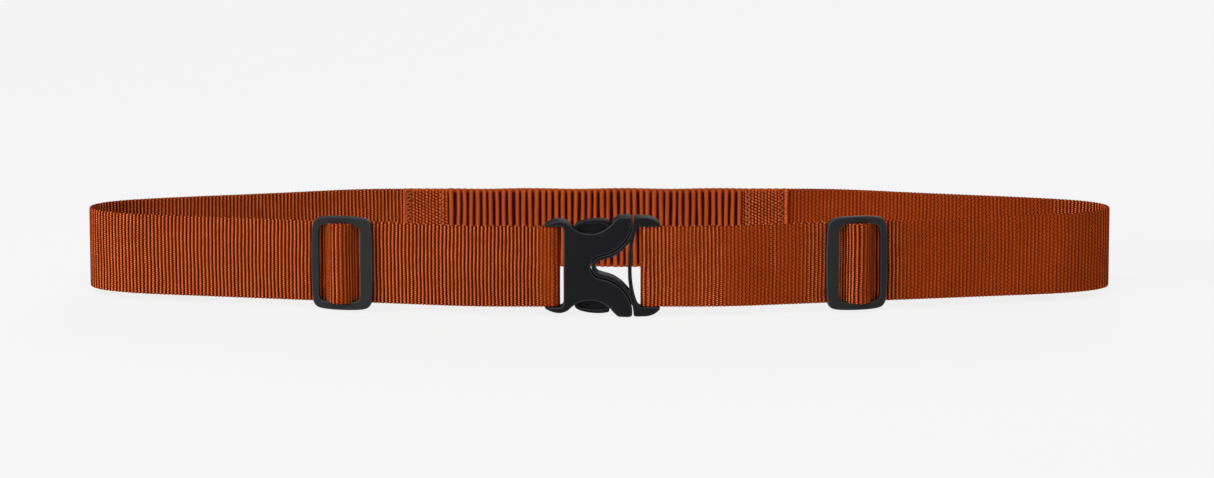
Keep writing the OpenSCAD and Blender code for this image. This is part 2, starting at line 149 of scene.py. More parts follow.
# ---------------- node helpers
class Graph:
    """Short forms for the nodes of a shader or a geometry group."""

    def __init__(self, tree):
        self.tree = tree

    def put(self, socket, value):
        if isinstance(value, (int, float)):
            socket.default_value = value
        elif isinstance(value, tuple):
            socket.default_value = (*value, 1)[:len(socket.default_value)]
        else:
            self.tree.links.new(value, socket)

    def math(self, op, *values, clamp=False):
        n = self.tree.nodes.new("ShaderNodeMath")
        n.operation = op
        n.use_clamp = clamp
        for socket, value in zip(n.inputs, values):
            self.put(socket, value)
        return n.outputs[0]

    def add(self, a, b):
        return self.math("ADD", a, b)

    def sub(self, a, b):
        return self.math("SUBTRACT", a, b)

    def mul(self, a, b):
        return self.math("MULTIPLY", a, b)

    def dome(self, q):
        """1 in the middle of a cell, falling off to 0 at its sides."""
        return self.sub(1.0, self.mul(q, q))

    def lerp(self, a, b, t):
        return self.add(self.mul(a, self.sub(1.0, t)), self.mul(b, t))

    def cell(self, x):
        """Which rib or column x is in, and where it is in it, from -1 to 1."""
        i = self.math("FLOOR", x)
        return i, self.sub(self.mul(self.sub(x, i), 2.0), 1.0)

    def beads(self, across, length, i):
        """Waves across the webbing, half a wave on in every other rib."""
        return self.math("COSINE", self.add(self.mul(across, 2 * PI / length), self.mul(i, PI)))

    def scaled(self, vector, amount):
        n = self.tree.nodes.new("ShaderNodeVectorMath")
        n.operation = "SCALE"
        self.put(n.inputs[0], vector)
        self.put(n.inputs["Scale"], amount)
        return n.outputs[0]

    def mix(self, factor, a, b, blend="MIX"):
        n = self.tree.nodes.new("ShaderNodeMix")
        n.data_type = "RGBA"
        n.blend_type = blend
        self.put(n.inputs[0], factor)
        self.put(n.inputs[6], a)
        self.put(n.inputs[7], b)
        return n.outputs[2]

    def attribute(self, name):
        n = self.tree.nodes.new("ShaderNodeAttribute")
        n.attribute_name = name
        return n.outputs["Fac"]

    def named(self, name, kind="FLOAT"):
        n = self.tree.nodes.new("GeometryNodeInputNamedAttribute")
        n.data_type = kind
        n.inputs["Name"].default_value = name
        return n.outputs["Attribute"]

    def noise(self, scale, detail=2.0):
        co = self.tree.nodes.new("ShaderNodeTexCoord")
        n = self.tree.nodes.new("ShaderNodeTexNoise")
        n.inputs["Scale"].default_value = scale
        n.inputs["Detail"].default_value = detail
        self.tree.links.new(co.outputs["Object"], n.inputs["Vector"])
        return n.outputs["Fac"]

    def grey(self, value):
        n = self.tree.nodes.new("ShaderNodeCombineColor")
        for i in range(3):
            self.put(n.inputs[i], value)
        return n.outputs[0]


def shader(name, rough, specular):
    """A material with one Principled shader, whose uniform values sit on its own sockets."""
    mat = bpy.data.materials.new(name)
    mat.use_nodes = True
    mat.node_tree.nodes.clear()
    g = Graph(mat.node_tree)
    out = mat.node_tree.nodes.new("ShaderNodeOutputMaterial")
    bsdf = mat.node_tree.nodes.new("ShaderNodeBsdfPrincipled")
    mat.node_tree.links.new(bsdf.outputs[0], out.inputs[0])
    bsdf.inputs["Roughness"].default_value = rough
    bsdf.inputs["Specular IOR Level"].default_value = specular
    return mat, g, bsdf


def bump(g, bsdf, height, strength, distance):
    n = g.tree.nodes.new("ShaderNodeBump")
    n.inputs["Strength"].default_value = strength
    n.inputs["Distance"].default_value = distance
    g.put(n.inputs["Height"], height)
    g.tree.links.new(n.outputs[0], bsdf.inputs["Normal"])


# ---------------- the weave
# Three numbers place a point on the webbing: rib, which counts ribs along it, across, in mm
# from its middle, and depth, which says how deep the grooves are drawn there and how much painted shade and
# highlight they carry.
BEAD, PICK = 1.9, 0.95          # pitch across the webbing of the beads and of the picks of yarn
YARN_W, YARN_L = 0.72, 1.25     # the sleeve's yarn
GROOVE, CREST = 0.40, 0.86      # half thickness in a groove and on a crest
FINE = 0.0002                   # bump distance of the finest detail, metres
EDGE = 1.1                      # width of the webbing's rounded edge

# Colours: painted shade in the grooves, the yarn's orange on the crests, and a painted highlight where a yarn
# catches the light.
WEB_SHADE, WEB_ORANGE, WEB_GLINT = (0.022, 0.0020, 0.0003), (0.52, 0.068, 0.0080), (0.92, 0.35, 0.165)
SLEEVE_SHADE, SLEEVE_ORANGE = (0.022, 0.0022, 0.0004), (0.50, 0.068, 0.0100)
SLEEVE_GLINT = (0.78, 0.22, 0.085)
THREAD_DARK, THREAD_LIGHT = (0.26, 0.040, 0.008), (0.60, 0.17, 0.060)
ELASTIC_DARK, ELASTIC_LIGHT = (0.20, 0.035, 0.008), (0.36, 0.075, 0.018)
# Painted highlight on the plastic's rounded rims.
RIM_HIGHLIGHT = (0.060, 0.061, 0.068)


def weave(rib, across, depth):
    """Height of the woven surface, from 0 in a groove to 1 on a crest, and the rib's roundness."""
    i = np.floor(rib)
    c = np.sqrt(np.maximum(0, 1 - (2 * (rib - i) - 1) ** 2))
    bead = np.cos(2 * PI * across / BEAD + PI * i)
    deep = c * (0.95 + 0.05 * bead)
    flat = 0.76 + 0.14 * c - 0.40 * (1 - c) * np.maximum(bead, 0)
    return depth * deep + (1 - depth) * flat, c


def weave_nodes(g, rib, across, depth):
    """The same in geometry nodes."""
    i, q = g.cell(rib)
    c = g.math("SQRT", g.math("MAXIMUM", g.dome(q), 0.0))
    bead = g.beads(across, BEAD, i)
    deep = g.mul(c, g.add(g.mul(bead, 0.05), 0.95))
    hollow = g.mul(g.sub(1.0, c), g.math("MAXIMUM", bead, 0.0))
    flat = g.sub(g.add(g.mul(c, 0.14), 0.76), g.mul(hollow, 0.40))
    return g.lerp(flat, deep, depth), c


def webbing_material():
    """Ribs across the webbing: grooves and pits in painted shade, orange crests, small picks of yarn with
    painted highlights.
    """
    mat, g, bsdf = shader("webbing", 0.7, 0.0)
    rib, across, depth = g.attribute("rib"), g.attribute("across"), g.attribute("depth")
    wave = g.math("COSINE", g.mul(across, 2 * PI / BEAD))
    i, q = g.cell(g.add(rib, g.mul(wave, 0.04)))
    body = g.math("MAXIMUM", g.dome(q), 0.0)
    pick, bead = g.beads(across, PICK, i), g.beads(across, BEAD, i)
    fine, broad, streak = g.noise(1500, 3), g.noise(45, 2), g.noise(260, 1)
    deep = g.mul(g.math("POWER", body, 2.7), g.add(g.mul(pick, 0.20), 0.80))
    pits = g.mul(g.sub(1.0, body), g.math("MAXIMUM", bead, 0.0))
    flat = g.sub(g.add(g.mul(body, 0.07), 0.50), g.mul(pits, 1.1))
    height = g.lerp(flat, deep, depth)
    grit = g.mul(g.sub(fine, 0.5), 0.5)
    lift = g.math("ADD", height, grit, clamp=True)
    # Painted shade: the grooves and the pits of the flat weave are drawn dark.
    tone = g.mix(lift, WEB_SHADE, WEB_ORANGE)
    # Painted highlights on the crests' picks, shown where depth stands for raking light.
    shine = g.math("SUBTRACT", 1.0, g.math("ABSOLUTE", g.mul(g.add(q, 0.18), 2.6)), clamp=True)
    shine = g.mul(shine, g.math("MAXIMUM", g.add(g.mul(pick, 0.95), 0.15), 0.0))
    shown = g.math("MULTIPLY", depth, 2.3, clamp=True)
    shine = g.mul(g.mul(shine, shown), g.add(g.mul(streak, 2.2), -0.2))
    tone = g.mix(g.math("MULTIPLY", shine, 0.95, clamp=True), tone, WEB_GLINT)
    wash = g.grey(g.add(g.mul(broad, 0.40), 0.80))
    g.put(bsdf.inputs["Base Color"], g.mix(1.0, tone, wash, "MULTIPLY"))
    g.put(bsdf.inputs["Roughness"], g.add(g.mul(fine, 0.25), 0.6))
    bump(g, bsdf, fine, 0.5, FINE)
    return mat


def sleeve_material(name, yarn):
    """Woven tube. yarn is 0 for the brick weave of its flat ends and 1 for its gathered pleats."""
    mat, g, bsdf = shader(name, 0.75, 0.0)
    height, along, across = g.attribute("height"), g.attribute("along"), g.attribute("across")
    fine, broad = g.noise(1700, 2), g.noise(60, 2)
    i, q = g.cell(g.mul(along, 1 / YARN_W))
    pick = g.beads(across, YARN_L, i)
    weft = g.mul(g.dome(q), g.math("MAXIMUM", pick, 0.0))
    speck = g.add(g.mul(g.sub(fine, 0.5), 0.7 - 0.3 * yarn), g.mul(weft, 0.50 * yarn))
    lift = g.math("ADD", height, g.add(speck, -0.15 * yarn), clamp=True)
    # Painted shade: the weave is drawn darker where its height attribute is low.
    tone = g.mix(lift, SLEEVE_SHADE, SLEEVE_ORANGE)
    # Painted highlights on the yarn: lit picks in the pleats, scattered glints on the flat ends.
    lit = g.add(g.mul(weft, 0.95 * yarn), g.mul(g.sub(fine, 0.5), 4.0 - 2.8 * yarn))
    lit = g.add(lit, 0.22 - 0.22 * yarn)
    yarn_glints = g.mul(g.math("POWER", lift, 2.0), lit)
    tone = g.mix(g.math("MULTIPLY", yarn_glints, 0.8, clamp=True), tone, SLEEVE_GLINT)
    wash = g.grey(g.add(g.mul(broad, 0.36), 0.82))
    g.put(bsdf.inputs["Base Color"], g.mix(1.0, tone, wash, "MULTIPLY"))
    bump(g, bsdf, g.add(fine, g.mul(weft, yarn)), 0.6, FINE)
    return mat


def thread_material():
    mat, g, bsdf = shader("thread", 0.6, 0.08)
    twist = g.noise(2600, 2)
    g.put(bsdf.inputs["Base Color"], g.mix(twist, THREAD_DARK, THREAD_LIGHT))
    bump(g, bsdf, twist, 0.6, FINE)
    return mat


def elastic_material():
    mat, g, bsdf = shader("elastic", 0.75, 0.12)
    grain = g.noise(1300, 2)
    g.put(bsdf.inputs["Base Color"], g.mix(grain, ELASTIC_DARK, ELASTIC_LIGHT))
    bump(g, bsdf, grain, 0.5, 0.0003)
    return mat


def plastic_material(name, specular, grey):
    """Moulded plastic: a matt face with worn patches and fine grain, and smoother rims with a painted
    highlight.
    """
    mat, g, bsdf = shader(name, 0.45, specular)
    wear = g.noise(70, 4)
    grain = g.noise(2400, 2)
    rim = g.attribute("rim")
    face = g.mix(wear, (grey * 0.7, grey * 0.68, grey * 0.70), (grey * 1.3, grey * 1.26, grey * 1.32))
    g.put(bsdf.inputs["Base Color"], g.mix(rim, face, RIM_HIGHLIGHT))
    g.put(bsdf.inputs["Roughness"], g.sub(g.add(g.mul(wear, 0.16), 0.42), g.mul(rim, 0.14)))
    bump(g, bsdf, grain, 0.22, 0.00008)
    return mat


WEBBING, THREAD = webbing_material(), thread_material()
SLEEVE, GATHERS = sleeve_material("sleeve", 0.0), sleeve_material("gathers", 1.0)
ELASTIC = elastic_material()
BUCKLE_PLASTIC = plastic_material("buckle_plastic", 0.046, 0.0028)
SLIDER_PLASTIC = plastic_material("slider_plastic", 0.10, 0.0150)


# ---------------- mesh helpers
def new_object(name, data):
    ob = bpy.data.objects.new(name, data)
    scene.collection.objects.link(ob)
    return ob


def make_mesh(name, verts, faces, mat, attributes=None):
    me = bpy.data.meshes.new(name)
    faces = np.asarray(faces, np.int32)
    me.vertices.add(len(verts))
    me.vertices.foreach_set("co", np.asarray(verts, np.float32).ravel())
    me.loops.add(faces.size)
    me.loops.foreach_set("vertex_index", faces.ravel())
    me.polygons.add(len(faces))
    me.polygons.foreach_set("loop_start", np.arange(0, faces.size, faces.shape[1], dtype=np.int32))
    me.update(calc_edges=True)
    me.polygons.foreach_set("use_smooth", np.full(len(faces), True))
    for key, data in (attributes or {}).items():
        data = np.asarray(data, np.float32)
        kind = "FLOAT_VECTOR" if data.ndim == 2 else "FLOAT"
        a = me.attributes.new(key, kind, "POINT")
        a.data.foreach_set("vector" if data.ndim == 2 else "value", data.ravel())
    me.materials.append(mat)
    return new_object(name, me)


def outward(v, q):
    """The faces q of a closed skin, turned so that they look out of it."""
    volume = 0.0
    for k in range(1, q.shape[1] - 1):
        volume += np.einsum("ij,ij->i", v[q[:, 0]], np.cross(v[q[:, k]], v[q[:, k + 1]])).sum()
    return q if volume > 0 else q[:, ::-1]


def two_face_skin(n, m):
    """Faces of a closed skin: two sheets of n by m points, joined round all four edges."""
    idx = np.arange(n * m).reshape(n, m)
    ring = np.concatenate([idx, idx[:, ::-1] + n * m], 1)
    nxt = np.roll(ring, -1, 1)
    q = [np.stack([ring[:-1], ring[1:], nxt[1:], nxt[:-1]], -1).reshape(-1, 4)]
    for row, back in ((0, True), (n - 1, False)):
        up, down = idx[row], idx[row] + n * m
        cap = np.stack([up[:-1], up[1:], down[1:], down[:-1]], -1)
        q.append(cap[:, ::-1] if back else cap)
    return np.concatenate(q)


def grid_skin(n, m):
    """Faces of a skin closed both ways, over n rings of m points."""
    idx = np.arange(n * m).reshape(n, m)
    a, b = idx, np.roll(idx, -1, 0)
    return np.stack([a, b, np.roll(b, -1, 1), np.roll(a, -1, 1)], -1).reshape(-1, 4)


# A path is a place (x, y, heading) and its steps, ("s", length) or ("a", radius, angle).
def step_length(st):
    return st[1] if st[0] == "s" else st[1] * abs(st[2])


def path_length(steps):
    return sum(step_length(st) for st in steps)


def step_place(p, st, t):
    """The place at length t along a step from p."""
    x, y, h = p
    if st[0] == "s":
        return x + t * math.cos(h), y + t * math.sin(h), h + t * 0
    r = math.copysign(st[1], st[2])
    turn = h + t / r
    return x + r * (np.sin(turn) - math.sin(h)), y - r * (np.cos(turn) - math.cos(h)), turn


def along(p, steps, s):
    """Places at the lengths s along a path."""
    out = np.zeros((len(s), 3))
    start = 0.0
    for st in steps:
        here = s >= start - 1e-9
        out[here] = np.stack(step_place(p, st, s[here] - start), -1)
        p = step_place(p, st, step_length(st))
        start += step_length(st)
    return out


def across_points(count):
    """Places across the webbing, more closely spaced at its edges."""
    edge = HALF_W - np.array([EDGE, 0.75, 0.42, 0.18, 0.0])
    return np.concatenate([-edge[::-1], np.linspace(-edge[0], edge[0], count)[1:-1], edge])


def edge_round(w):
    """Share of the thickness that is left towards the webbing's rounded edges."""
    d = np.clip((HALF_W - np.abs(w)) / 0.8, 0, 1)
    return 0.25 + 0.75 * np.sqrt(1 - (1 - d) ** 2)


def sheets(place, offset, lift):
    """Both faces of a ply laid along a path: offset is its half thickness, lift its place across."""
    nx, ny = -np.sin(place[:, 2])[:, None], np.cos(place[:, 2])[:, None]
    return np.concatenate([np.stack([place[:, :1] + nx * side * offset, place[:, 1:2] + ny * side * offset,
                                     lift], -1).reshape(-1, 3) for side in (-1, 1)])


def both(x):
    """A value of each point of a ply, for its two faces."""
    return np.concatenate([x.ravel(), x.ravel()])


def finish_piece(ob, node, body=None):
    """Hides the node a piece stands for, and puts the piece under its body if it has one."""
    if body:
        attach(ob, body)
    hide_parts(node)


# ---------------- plies of webbing
RIB_STEPS, WEB_POINTS = 8, 75       # points of the mesh along a rib's width and across the webbing
SCALLOP, SCALLOP_MEAN = 0.40, 0.45  # how far the ribs stand out at the webbing's two edges
WAVER = 0.07                        # how far the ribs wander, in ribs
HIDDEN_HEIGHT = 0.6                 # height of the surface where it lies hidden
MOVING_PITCH = 0.99                 # width of a moving ply's ribs against the others


def rib_wander(s, w):
    """How far, in ribs, the ribs stray from straight lines at length s and place w across."""
    return WAVER * np.sin(w / 7.0 + s / 31.0) + 0.03 * np.sin(w / 2.9 + s / 3.7)


def edge_side(w):
    """0 in the middle of the webbing, running to 1 and -1 at its two edges."""
    return np.sign(w) * np.clip((np.abs(w) - HALF_W + EDGE) / EDGE, 0, 1)


def spread(depth, s, shape):
    """Groove depth at every point, from a number or from a function of the length."""
    return np.broadcast_to(depth(s)[:, None] if callable(depth) else depth, shape)


def fixed_ply(side, part, p, steps, rib0, depth, body, plain=0.0):
    """A ribbed ply that keeps its length, from the rib count rib0 at its start. depth is a number
    or a function of the length along it; plain is the length at its start that lies hidden and
    has no ribs. Returns the rib count at its end."""
    name = side + "_" + part
    flip, pitch = SIDES[side]["flip"], SIDES[side]["pitch"]
    first, last = rib0 + plain / pitch, rib0 + path_length(steps) / pitch
    marks = np.arange(math.floor(first * RIB_STEPS) + 1, math.ceil(last * RIB_STEPS)) / RIB_STEPS
    marks = marks[(marks > first + 0.02) & (marks < last - 0.02)]
    rib = np.concatenate([[first], marks, [last]])
    s = (rib - rib0) * pitch
    if plain:
        s = np.concatenate([np.linspace(0, plain, 6)[:-1], s])
        rib = rib0 + s / pitch
    place = along(p, steps, s)
    R, W = np.meshgrid(rib, across_points(WEB_POINTS), indexing="ij")
    S = np.broadcast_to(s[:, None], R.shape)
    D = spread(depth, s, R.shape)
    R = R + rib_wander(S, W)
    H, c = weave(R, W, D)
    H = np.where(S < plain - 0.01, HIDDEN_HEIGHT, H)
    thick = (GROOVE + (CREST - GROOVE) * H) * edge_round(W)
    lift = W + edge_side(W) * SCALLOP * (c - SCALLOP_MEAN) + 0.10 * np.sin(S / 17.0)
    v = sheets(place, thick, lift)
    v[:, 0] *= flip
    ob = make_mesh(name, world(v), outward(v, two_face_skin(*R.shape)), WEBBING,
                   {"rib": both(R), "across": both(W), "depth": both(D)})
    finish_piece(ob, name, body)
    return last


def moving_ply(side, part, p, steps, x_zero, depth, ends):
    """A ply that a slider lengthens and shortens. Its ribs are laid by a modifier that counts them
    along X from x_zero, so they keep their size whatever length the ply has."""
    name = side + "_" + part
    flip, pitch = SIDES[side]["flip"], SIDES[side]["pitch"] * MOVING_PITCH
    length = path_length(steps)
    s = np.linspace(0, length, int(length / pitch * RIB_STEPS) + 1)
    place = along(p, steps, s)
    S, W = np.meshgrid(s, across_points(WEB_POINTS), indexing="ij")
    D = spread(depth, s, W.shape)
    v = sheets(place, 0 * W, W)
    out = sheets(np.stack([0 * s, 0 * s, place[:, 2]], -1), edge_round(W), 0 * W)
    v += out * GROOVE
    v[:, 0] *= flip
    out[:, 0] *= flip
    ob = make_mesh(name, world(v), outward(v, two_face_skin(*W.shape)), WEBBING,
                   {"across": both(W), "depth": both(D), "bend": both(rib_wander(S, W)),
                    "edge": both(edge_side(W)), "out": turned(out)})
    start, end = (Vector(world([e[0] * flip, e[1], 0.0])) for e in ends)
    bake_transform(ob)
    lay_ribs(ob, x_zero, pitch, flip)
    finish_piece(ob, name)


def lay_ribs(ob, x_zero, pitch, flip):
    """Counts ribs from x_zero along X, stores the count and raises the ribs."""
    tree = bpy.data.node_groups.new("ribs_" + ob.name, "GeometryNodeTree")
    for way in ("INPUT", "OUTPUT"):
        tree.interface.new_socket("Geometry", in_out=way, socket_type="NodeSocketGeometry")
    g = Graph(tree)
    group_in, group_out = tree.nodes.new("NodeGroupInput"), tree.nodes.new("NodeGroupOutput")
    where = tree.nodes.new("ShaderNodeSeparateXYZ")
    tree.links.new(tree.nodes.new("GeometryNodeInputPosition").outputs[0], where.inputs[0])
    x = g.mul(where.outputs[0], flip / (pitch * MM))
    rib = g.add(g.sub(x, x_zero / pitch), g.named("bend"))
    height, c = weave_nodes(g, rib, g.named("across"), g.named("depth"))
    scallop = g.mul(g.sub(c, SCALLOP_MEAN), SCALLOP * MM)
    total = tree.nodes.new("ShaderNodeVectorMath")
    g.put(total.inputs[0], g.scaled(g.named("out", "FLOAT_VECTOR"), g.mul(height, (CREST - GROOVE) * MM)))
    g.put(total.inputs[1], g.scaled(tuple(turned([0.0, 0.0, 1.0])), g.mul(g.named("edge"), scallop)))
    keep = tree.nodes.new("GeometryNodeStoreNamedAttribute")
    keep.inputs["Name"].default_value = "rib"
    tree.links.new(group_in.outputs[0], keep.inputs["Geometry"])
    tree.links.new(rib, keep.inputs["Value"])
    move = tree.nodes.new("GeometryNodeSetPosition")
    tree.links.new(keep.outputs[0], move.inputs["Geometry"])
    tree.links.new(total.outputs[0], move.inputs["Offset"])
    tree.links.new(move.outputs[0], group_out.inputs[0])
    ob.modifiers.new("ribs", "NODES").node_group = tree


# ---------------- the loop of webbing
def on_front(s):
    """The place on the front run's line at length s from its start."""
    return F0[0] + s * math.cos(FS), F0[1] - s * math.sin(FS)


def on_slider(u, v, heading):
    """A place in the slider's frame, on the left side of the loop."""
    c, s = math.cos(FS), math.sin(FS)
    x0, y0 = on_front(SLIDER_S)
    d = v - RUN_V
    return x0 + u * c - d * s, y0 - u * s - d * c, -heading - FS


def mirror_steps(steps):
    """The same path with every arc turned the other way."""
    return [st if st[0] == "s" else (st[0], st[1], -st[2]) for st in steps]


def fade(*knots):
    """A function of length that runs straight between the knots (length, value)."""
    at, values = zip(*knots)
    return lambda s: np.interp(s, at, values)


def lay_side(side):
    """One side's webbing. Groove depths follow the photo: 1 is open ribs with painted shade and highlights, 0
    a closed flat weave in an even tone.
    """
    gx, bar = SIDES[side]["gx"], SIDES[side]["bar"]
    x_pitch = SIDES[side]["pitch"] * MOVING_PITCH
    half, adjuster = side + "_half", side + "_adjuster"
    left = side == "left"
    # The depths along each ply also paint the key light from the left: deep where it rakes the ribs, flat and
    # even where it misses them.
    flat = 1.0 if left else 0.10
    # Back run, from inside the sleeve, the end turn between its two bends, and the front bend.
    steps = [("s", BACK_FLAT - gx), ("a", BACK_R, BS), ("s", B_LEN)]
    rib = fixed_ply(side, "back_run", (-gx, BACK_Y, PI), steps, 0.37, 0.65 if left else flat, half,
                    plain=FLAT_END - 2)
    span = EASE_R * (ES - BS)
    depth = 1.0 if left else fade((0, 0.2), (span * 0.5, 1.0))
    rib = fixed_ply(side, "back_bend", (*B0, PI + BS), [("a", EASE_R, ES - BS)], rib, depth, half)
    span = END_R * (PI - 2 * ES)
    depth = fade((0, 0.6), (span * 0.4, 0.5), (span, 0.8)) if left else \
        fade((0, 1.0), (span * 0.45, 0.6), (span * 0.7, 0.25))
    rib = fixed_ply(side, "end_turn", (END_X, END_Y, PI + ES), [("a", END_R, PI - 2 * ES)], rib, depth,
                    half)
    rib = fixed_ply(side, "front_bend", (END_X, -END_Y, -ES), [("a", EASE_R, ES - FS)], rib, flat, half)
    # Front run, to the slider.
    run = SLIDER_S + BAR_U - W_HALF - BUTT
    depth = flat if left else fade((run - 14, flat), (run - 7, 0.9))
    moving_ply(side, "front_run", (*F0, -FS), [("s", run)], F0[0] - rib * x_pitch, depth,
               (F0, on_front(run)))
    # The weave over the slider's centre bar.
    hump = [("a", EASE_IN, WEAVE_A), ("s", W_LINE), ("a", HUMP_R, -2 * WEAVE_A), ("s", W_LINE),
            ("a", EASE_IN, WEAVE_A)]
    whole = path_length(hump)
    depth = fade((whole * 0.12, 0.3), (whole * 0.28, 1.0), (whole * 0.45, 1.0), (whole * 0.56, 0.25)) \
        if left else fade((whole * 0.46, 0.25), (whole * 0.56, 1.0), (whole * 0.88, 1.0))
    fixed_ply(side, "weave", on_slider(BAR_U - W_HALF, RUN_V, 0.0), mirror_steps(hump), 0.2, depth,
              adjuster)
    # From the slider to the buckle.
    s0 = SLIDER_S + BAR_U + W_HALF + BUTT
    near = on_front(s0)
    steps = [("s", F_LEN - s0), ("a", FRONT_R, FS), ("s", FRONT_FLAT - bar)]
    length = path_length(steps)
    far = along((*near, -FS), steps, np.array([F_LEN - s0 + GIVES]))[0]
    x_zero = -bar - 0.5 * x_pitch
    depth = fade((0, 0.45), (8, 1.0), (length - 9, 1.0), (length - 5, 0.15)) if left else \
        fade((0, 0.45), (14, 0.42), (20, 0.11), (30, 0.11), (31.5, 0.3), (33, 0.11),
             (length - 37, 0.11), (length - 34, 0.42), (length - 24, 0.42),
             (length - 20, 0.2), (length - 15, 0.2), (length - 9, 0.55), (length, 0.75))
    moving_ply(side, "front_ply", (*near, -FS), steps, x_zero, depth, (far[:2], near))
    # Round the buckle's bar and back, and round the slider's centre bar to the sewn tail.
    wrap = [("a", WRAP_R, PI + CLOSE_A), ("s", C_LINE), ("a", CLOSE_R, -CLOSE_A)]
    fixed_ply(side, "buckle_wrap", (-bar, FRONT_Y, 0.0), wrap, 0.5, 0.15 if left else 0.75, half)
    s1 = SLIDER_S + INNER_U + BUTT
    x, y = on_front(s1)
    near = (x + INNER_OFF * math.sin(FS), y + INNER_OFF * math.cos(FS))
    steps = [("s", F_LEN - s1), ("a", FRONT_R - INNER_OFF, FS), ("s", FRONT_FLAT - bar - C_REACH)]
    far = along((*near, -FS), steps, np.array([F_LEN - s1 + GIVES]))[0]
    moving_ply(side, "inner_ply", (*near, -FS), steps, x_zero, 0.8, (far[:2], near))
    loop = [("a", INNER_EASE, -WEAVE_A), ("s", I_LINE), ("a", LOOP_R, PI + WEAVE_A - TAIL_A),
            ("s", T_LINE), ("a", EASE_IN, TAIL_A), ("s", TAIL_LEN)]
    fixed_ply(side, "sewn_loop", on_slider(INNER_U, INNER_V, PI), mirror_steps(loop), 0.2, 0.8, adjuster)


for side_name in SIDES:
    lay_side(side_name)


# ---------------- the stretch panel
SEAM_IN, HEM_IN = 3.0, 0.6          # places of the seams and rolled hems, from the sleeve's ends
BRICK_W, BRICK_H = 1.6, 1.55
SLEEVE_STEP = 0.175                 # of the mesh of the sleeve's flat ends


def oval(half_w, half_t, face, turn):
    """A flat oval section: places (y, z) and their outward directions."""
    z = half_w - half_t
    run = np.linspace(-z, z, face)
    a = np.linspace(0, PI, turn + 2)[1:-1]
    pts = [np.stack([0 * run - half_t, run], -1),
           np.stack([-half_t * np.cos(a), z + half_t * np.sin(a)], -1),
           np.stack([0 * run + half_t, run[::-1]], -1),
           np.stack([half_t * np.cos(a), -z - half_t * np.sin(a)], -1)]
    core = [np.stack([0 * run, run], -1), np.stack([0 * a, 0 * a + z], -1),
            np.stack([0 * run, run[::-1]], -1), np.stack([0 * a, 0 * a - z], -1)]
    pts, core = np.concatenate(pts), np.concatenate(core)
    return pts, (pts - core) / half_t


def sleeve_tube(name, x, raise_by, half_w, half_t, hole, face, mat=SLEEVE):
    """A tube of cloth along X round a flat slot. At places (x, z) raise_by gives how far the cloth
    stands out, how far up the weave it is, which sets its painted shade, and how far its edges stray."""
    section, out = oval(half_w, half_t, face, 7)
    X = np.broadcast_to(x[:, None], (len(x), len(section)))
    Z = np.broadcast_to(section[:, 1], X.shape)
    lift, shade, stand = raise_by(X, Z)
    Y = section[:, 0] + out[:, 0] * lift
    outer = np.stack([X, BACK_Y + Y, Z + out[:, 1] * lift + stand * np.sign(Z)], -1)
    hw, ht = hole
    slot = (section - out * half_t) * ((hw - ht) / (half_w - half_t)) + out * ht
    rows = []
    for end in (x[-1], x[0]):
        rows.append(np.stack([np.full(len(slot), end), BACK_Y + slot[:, 0], slot[:, 1]], -1))
    v = np.concatenate([outer, np.array(rows)]).reshape(-1, 3)
    # The slot's inner skin is painted dark, as shade inside the tube.
    shade = np.concatenate([shade, np.full((2, len(section)), 0.2)])
    faces = outward(v, grid_skin(len(x) + 2, len(section)))
    marks = {key: np.concatenate([data, data[-1:], data[:1]]).ravel()
             for key, data in (("along", X), ("across", Z))}
    return make_mesh(name, world(v), faces, mat, {"height": shade.ravel(), **marks})


def brick(x, z, seam_x, hem_x):
    """Flat woven cloth: staggered bricks, a rolled hem at its outer end, a pinched seam."""
    col = x / BRICK_W
    i = np.floor(col)
    across = 2 * (col - i) - 1
    c = np.maximum(0, 1 - across ** 2) ** 0.8
    row = (z + 0.25 * across) / BRICK_H + 0.5 * (i % 2)
    b = 1 - np.abs(2 * (row - np.floor(row)) - 1) ** 3
    h = c * b
    edge = np.clip(1 - np.abs(x - hem_x) / 1.1, 0, 1) ** 0.5
    seam = np.exp(-((x - seam_x) / 1.0) ** 2)
    fuzz = 0.5 + 0.25 * np.sin(z * 5.1 + x * 3) * np.sin(z * 2.3 + 1)
    h = h * (1 - seam) + seam * fuzz * 0.8
    ragged = 0.5 + 0.5 * np.sin(z * 4.9 + x * 2.0) * np.sin(z * 1.7 + 2.0)
    h = np.where(edge > 0, np.maximum(h * 0.5, 0.50 + 0.24 * edge + 0.26 * ragged * edge), h)
    lift = -0.34 + 0.52 * h + 0.35 * edge - 0.25 * seam
    near_edge = np.clip(np.abs(z) - SLEEVE_HALF + 2.2, 0, 1.6) / 1.6
    # The gaps between the bricks are painted dark, as shade; the turned edges are drawn lighter.
    shade = np.clip(np.maximum(1.4 * h - 0.24, 0.7 * near_edge ** 2), 0, 1)
    return lift * (1 - near_edge), shade, 0.08 * np.sin(x * 1.7) * near_edge


def flat_end(name, hem, inner, body):
    """A flat end of the sleeve, from its hem to where the gathers begin."""
    inward = 1 if inner > hem else -1
    x = np.arange(min(hem, inner), max(hem, inner) + 0.01, SLEEVE_STEP)
    ob = sleeve_tube(name, x, lambda X, Z: brick(X, Z, hem + inward * SEAM_IN, hem + inward * HEM_IN),
                     SLEEVE_HALF - 0.45, FLAT_T / 2, (HALF_W + 0.1, 0.95), 140)
    finish_piece(ob, name, body)


RIDGES, RIDGE_POINTS = 45, 12
RIDGE_PITCH = (GX1 - GX0) / RIDGES
ridge_height = rng.uniform(0.90, 1.03, RIDGES)
ridge_width = rng.uniform(0.62, 0.77, RIDGES)
ridge_shift = rng.uniform(-0.05, 0.05, RIDGES)
ridge_lean = rng.uniform(-0.05, 0.05, RIDGES)
ridge_phase = rng.uniform(0, 2 * PI, RIDGES)


